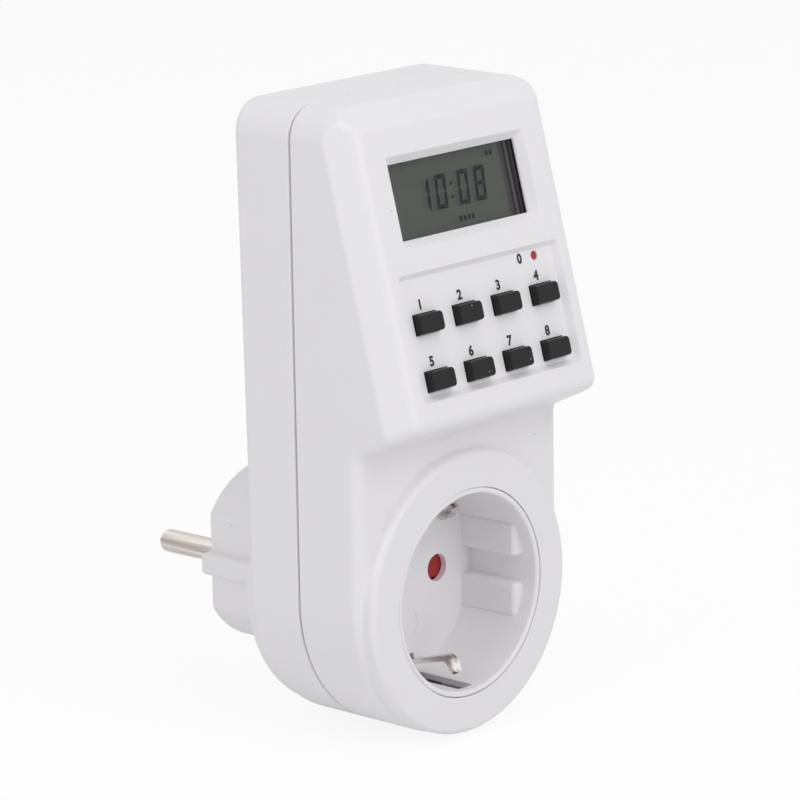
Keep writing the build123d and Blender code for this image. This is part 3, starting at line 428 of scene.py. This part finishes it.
# painted shade and painted reflection for the display's right end
STRIPE_MID = ink_material("stripe_mid", linear(58, 57, 58), 0.4, DISPLAY_SHINE)
STRIPE_DARK = ink_material("stripe_dark", linear(32, 30, 33), 0.4, DISPLAY_SHINE)
STRIPE_LIGHT = ink_material("stripe_light", linear(88, 76, 88), 0.4, DISPLAY_SHINE)

for row in frame["record"]["subparts"]:
    node = nodes[row["node"]]
    node.data.materials.clear()
    node.data.materials.append(FINISHES[row["material_slot"]])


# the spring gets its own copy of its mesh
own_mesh(nodes["shutter_spring"])


# ---------------------------------------------------------------- display figures
FIGURE_DEPTH = DISPLAY_DEPTH - 2 * INK_THICKNESS
SHADOW_DEPTH = DISPLAY_DEPTH - INK_THICKNESS

SEGMENTS = {"0": "abcdef", "1": "bc", "8": "abcdefg"}
DIGIT_BASE = 40.65  # t of the figures' lower edge
DIGIT_WIDTH = 3.15
DIGIT_HEIGHT = 6.75
DIGIT_STROKE = 0.92
DIGIT_LEAN = 0.11
BAR_GAP = 0.07  # each end of a bar stays this far from where the next bar begins
GHOST_SHIFT = -1.1  # the figures' shadow on the reflector, seen beside them
CLOCK_FIGURES = (("1", -10.15), ("0", -5.35), ("0", 1.1), ("8", 5.95))
COLON_DOTS = ((-0.25, 45.2), (-0.5, 42.6))
COLON_RADIUS = 0.4
MODE_BLOCKS = ((0.1, 37.6), (1.3, 37.6), (2.5, 37.6), (3.7, 37.6))
DAY_BLOCKS = ((11.0, 48.9), (12.2, 48.9))
BLOCK_SIZE = (0.8, 1.0)


def digit_bars(digit, x):
    """Outlines of the lit bars of a seven-bar figure at x.

    Each bar is a trapezium along one side of the figure's box, with ends cut at 45 degrees so
    that neighbours meet with a thin gap; the middle bar is a hexagon. The whole leans to the right
    by DIGIT_LEAN times the height.
    """
    width, height, stroke = DIGIT_WIDTH, DIGIT_HEIGHT, DIGIT_STROKE
    half = height / 2
    gap = BAR_GAP
    top = [(gap, height), (width - gap, height), (width - stroke - gap, height - stroke),
           (stroke + gap, height - stroke)]
    right = [(width, height - gap), (width, half + gap), (width - stroke / 2, half + gap),
             (width - stroke, half + stroke / 2 + gap), (width - stroke, height - stroke - gap)]
    middle = [(gap + stroke / 2, half), (stroke + gap, half + stroke / 2),
              (width - stroke - gap, half + stroke / 2), (width - stroke / 2 - gap, half),
              (width - stroke - gap, half - stroke / 2), (stroke + gap, half - stroke / 2)]
    shapes = {
        "a": top,
        "b": right,
        "c": [(across, height - up) for across, up in right],
        "d": [(across, height - up) for across, up in top],
        "e": [(width - across, height - up) for across, up in right],
        "f": [(width - across, up) for across, up in right],
        "g": middle,
    }
    return [[(x + across + DIGIT_LEAN * up, DIGIT_BASE + up) for across, up in shapes[bar]]
            for bar in SEGMENTS[digit]]


def flat_shapes(name, shapes, depth, material):
    """Flat outlines on the display at one depth, as one piece."""
    vertices = np.vstack([on_panel(shape, depth) for shape in shapes])
    faces = []
    first = 0
    for shape in shapes:
        faces.append(list(range(first, first + len(shape))))
        first += len(shape)
    make_piece(name, vertices, faces, "case", material)


def disc_outline(x, t, radius, sides=20):
    """Round outline on the panel."""
    turn = np.linspace(0, 2 * np.pi, sides, endpoint=False)
    return np.stack([x + radius * np.cos(turn), t + radius * np.sin(turn)], axis=1)


def shifted(shapes, across):
    """The same outlines, moved across the panel."""
    return [[(x + across, t) for x, t in shape] for shape in shapes]


def upright_block(left, right, low, high):
    """Rectangle on the panel."""
    return [(left, low), (right, low), (right, high), (left, high)]


def figure_shapes():
    """The time that the display shows, with its colon and small blocks for the mode and the day."""
    shapes = []
    for digit, x in CLOCK_FIGURES:
        shapes += digit_bars(digit, x)
    for x, t in COLON_DOTS:
        shapes.append(disc_outline(x, t, COLON_RADIUS))
    for x, t in MODE_BLOCKS + DAY_BLOCKS:
        shapes.append(upright_block(x, x + BLOCK_SIZE[0], t, t + BLOCK_SIZE[1]))
    return shapes


flat_shapes("display_figures", figure_shapes(), FIGURE_DEPTH, SEGMENT_DARK)
flat_shapes("display_shadow", shifted(figure_shapes(), GHOST_SHIFT), SHADOW_DEPTH, SEGMENT_GHOST)

# the display's right end is painted darker, with dark and light stripes: partly the module's frame
# and contact strip seen at an angle through the cover, partly painted shade and painted reflection
STRIPE_SPAN = (35.6, 51.9)  # t from the foot to the top of each stripe
MID_STRIPES = [(14.8, 20.0)]
DARK_STRIPES = [(15.9, 16.6), (17.45, 18.05), (18.75, 20.0)]
LIGHT_STRIPES = [(16.75, 17.35), (18.15, 18.65)]


def stripes(name, spans, depth, material):
    """Upright stripes on the display, each from one x to another."""
    shapes = [upright_block(left, right, *STRIPE_SPAN) for left, right in spans]
    flat_shapes(name, shapes, depth, material)


# the darker band over the whole right end is painted shade
stripes("display_end", MID_STRIPES, SHADOW_DEPTH, STRIPE_MID)
stripes("display_end_dark", DARK_STRIPES, FIGURE_DEPTH, STRIPE_DARK)
stripes("display_end_light", LIGHT_STRIPES, FIGURE_DEPTH, STRIPE_LIGHT)


# ---------------------------------------------------------------- printed numbers
NUMBER_SIZE = 2.6
NUMBER_WEIGHT = 0.05 * NUMBER_SIZE  # how far the strokes are fattened
NUMBER_RISE = 2.85  # from the middle of a key to the foot of its number
NUMBER_SHIFT = -0.6  # from the middle of a key to the middle of its number
ZERO_PLACE = (12.6, 27.05)  # beside the clear button


def printed_number(text, x, t):
    """Plain number on the keypad's floor, as a mesh made from text."""
    curve = bpy.data.curves.new("number_" + text, "FONT")
    curve.body = text
    curve.size = NUMBER_SIZE
    curve.offset = NUMBER_WEIGHT
    curve.align_x = "CENTER"
    curve.resolution_u = 4
    source = bpy.data.objects.new("number_" + text, curve)
    bpy.context.scene.collection.objects.link(source)
    bpy.context.view_layer.update()
    evaluated = source.evaluated_get(bpy.context.evaluated_depsgraph_get())
    flat = bpy.data.meshes.new_from_object(evaluated)
    bpy.data.objects.remove(source)
    points = [(x + vertex.co.x, t + vertex.co.y) for vertex in flat.vertices]
    faces = [list(polygon.vertices) for polygon in flat.polygons]
    vertices = on_panel(points, KEYPAD_DEPTH - INK_THICKNESS)
    make_piece("number_" + text, vertices, faces, "case", PRINT_BLACK)


for row, t in enumerate(KEY_ROWS):
    for column in range(KEY_COLUMNS):
        middle = KEY_PITCH * (column - (KEY_COLUMNS - 1) / 2)
        number = KEY_COLUMNS * row + column + 1
        printed_number(str(number), middle + NUMBER_SHIFT, t + NUMBER_RISE)
printed_number("0", *ZERO_PLACE)


# ---------------------------------------------------------------- view, light and backdrop
AMBIENT = 0.48  # strength of the surround as a light
FLOOR_HALF = 1.6
FLOOR_GAP = 0.0005  # the floor lies this far below the part
FLOOR_NOISE = 8.0  # cells per metre of the floor's change of tone
FLOOR_TONES = ((0.84, 0.84, 0.85, 1), (0.88, 0.88, 0.88, 1))
FLOOR_ROUGHNESS = 0.9
FLOOR_GLOW = 1.03
FLOOR_GLOW_SHARE = 0.86  # the rest of what is seen of the floor takes the shadow
LAMPS = (  # name, place, the point that it faces, side and power
    ("front_lamp", (-0.10, -0.88, 0.62), (0, -0.03, 0.01), 0.6, 2.8),
    ("left_lamp", (-1.0, 0.05, 0.35), (0, -0.03, 0.03), 0.7, 1.9),
    ("top_lamp", (0.0, -0.2, 1.0), (0, -0.03, 0.03), 0.9, 1.7),
)


def place_view():
    """Camera on the line of sight, its axes turned by the roll, as the view values say."""
    back = Vector((
        -math.sin(VIEW_AZIMUTH) * math.cos(VIEW_ELEVATION),
        -math.cos(VIEW_AZIMUTH) * math.cos(VIEW_ELEVATION),
        math.sin(VIEW_ELEVATION),
    ))
    level = Vector((0, 0, 1)).cross(back).normalized()
    upright = back.cross(level)
    right = level * math.cos(VIEW_ROLL) + upright * math.sin(VIEW_ROLL)
    up = upright * math.cos(VIEW_ROLL) - level * math.sin(VIEW_ROLL)
    place = Vector((0, RING_FACE_Y, 0)) + back * VIEW_DISTANCE
    place += right * VIEW_SIDE
    place += up * VIEW_RISE
    camera = bpy.data.objects.new("view", bpy.data.cameras.new("view"))
    camera.matrix_world = Matrix((
        (right.x, up.x, back.x, place.x),
        (right.y, up.y, back.y, place.y),
        (right.z, up.z, back.z, place.z),
        (0, 0, 0, 1),
    ))
    camera.data.lens = VIEW_LENS
    camera.data.sensor_width = VIEW_SENSOR
    camera.data.clip_start = VIEW_NEAR
    camera.data.clip_end = VIEW_FAR
    bpy.context.scene.collection.objects.link(camera)
    bpy.context.scene.camera = camera


def soft_lamp(name, place, target, side, power):
    """White square lamp that faces a point."""
    lamp = bpy.data.objects.new(name, bpy.data.lights.new(name, "AREA"))
    lamp.data.shape = "RECTANGLE"
    lamp.data.size = side
    lamp.data.size_y = side
    lamp.data.energy = power
    lamp.location = place
    lamp.rotation_euler = (Vector(target) - Vector(place)).to_track_quat("-Z", "Y").to_euler()
    bpy.context.scene.collection.objects.link(lamp)


def seen_background(tree):
    """One where a ray comes from the eye or from a mirror or clear surface, and else zero."""
    rays = tree.nodes.new("ShaderNodeLightPath").outputs
    direct = math_node(tree, "MAXIMUM", rays["Is Camera Ray"], rays["Is Transmission Ray"])
    return math_node(tree, "MAXIMUM", direct, rays["Is Glossy Ray"])


def place_surround():
    """White surround that lights everything evenly."""
    world = bpy.data.worlds.new("surround")
    world.use_nodes = True
    tree = world.node_tree
    background = tree.nodes["Background"]
    seen = seen_background(tree)
    strength = math_node(tree, "MULTIPLY_ADD", seen, 1.0 - AMBIENT, AMBIENT)
    tree.links.new(strength, background.inputs["Strength"])
    background.inputs["Color"].default_value = (1, 1, 1, 1)
    bpy.context.scene.world = world


def place_floor():
    """Pale floor with a soft shadow, which glows where it is seen."""
    level = cad_box[0][2] - FLOOR_GAP
    signs = ((-1, -1), (1, -1), (1, 1), (-1, 1))
    corners = [(FLOOR_HALF * x, FLOOR_HALF * y, level) for x, y in signs]
    mesh = bpy.data.meshes.new("floor")
    mesh.from_pydata(corners, [], [(0, 1, 2, 3)])
    floor = bpy.data.objects.new("floor", mesh)
    material = bpy.data.materials.new("pale_floor")
    material.use_nodes = True
    tree = material.node_tree
    shader = tree.nodes["Principled BSDF"]
    shader.inputs["Roughness"].default_value = FLOOR_ROUGHNESS
    place = tree.nodes.new("ShaderNodeTexCoord").outputs["Object"]
    tone = noise_node(tree, place, FLOOR_NOISE, 3.0, 0.5)
    tree.links.new(mix_colour(tree, tone, *FLOOR_TONES), shader.inputs["Base Color"])
    glow = tree.nodes.new("ShaderNodeEmission")
    glow.inputs["Strength"].default_value = FLOOR_GLOW
    mix = tree.nodes.new("ShaderNodeMixShader")
    share = math_node(tree, "MULTIPLY", seen_background(tree), FLOOR_GLOW_SHARE)
    tree.links.new(share, mix.inputs["Fac"])
    tree.links.new(shader.outputs["BSDF"], mix.inputs[1])
    tree.links.new(glow.outputs["Emission"], mix.inputs[2])
    tree.links.new(mix.outputs["Shader"], tree.nodes["Material Output"].inputs["Surface"])
    mesh.materials.append(material)
    bpy.context.scene.collection.objects.link(floor)


place_view()
place_surround()
place_floor()
for lamp_values in LAMPS:
    soft_lamp(*lamp_values)

bpy.context.scene.view_settings.view_transform = "Standard"
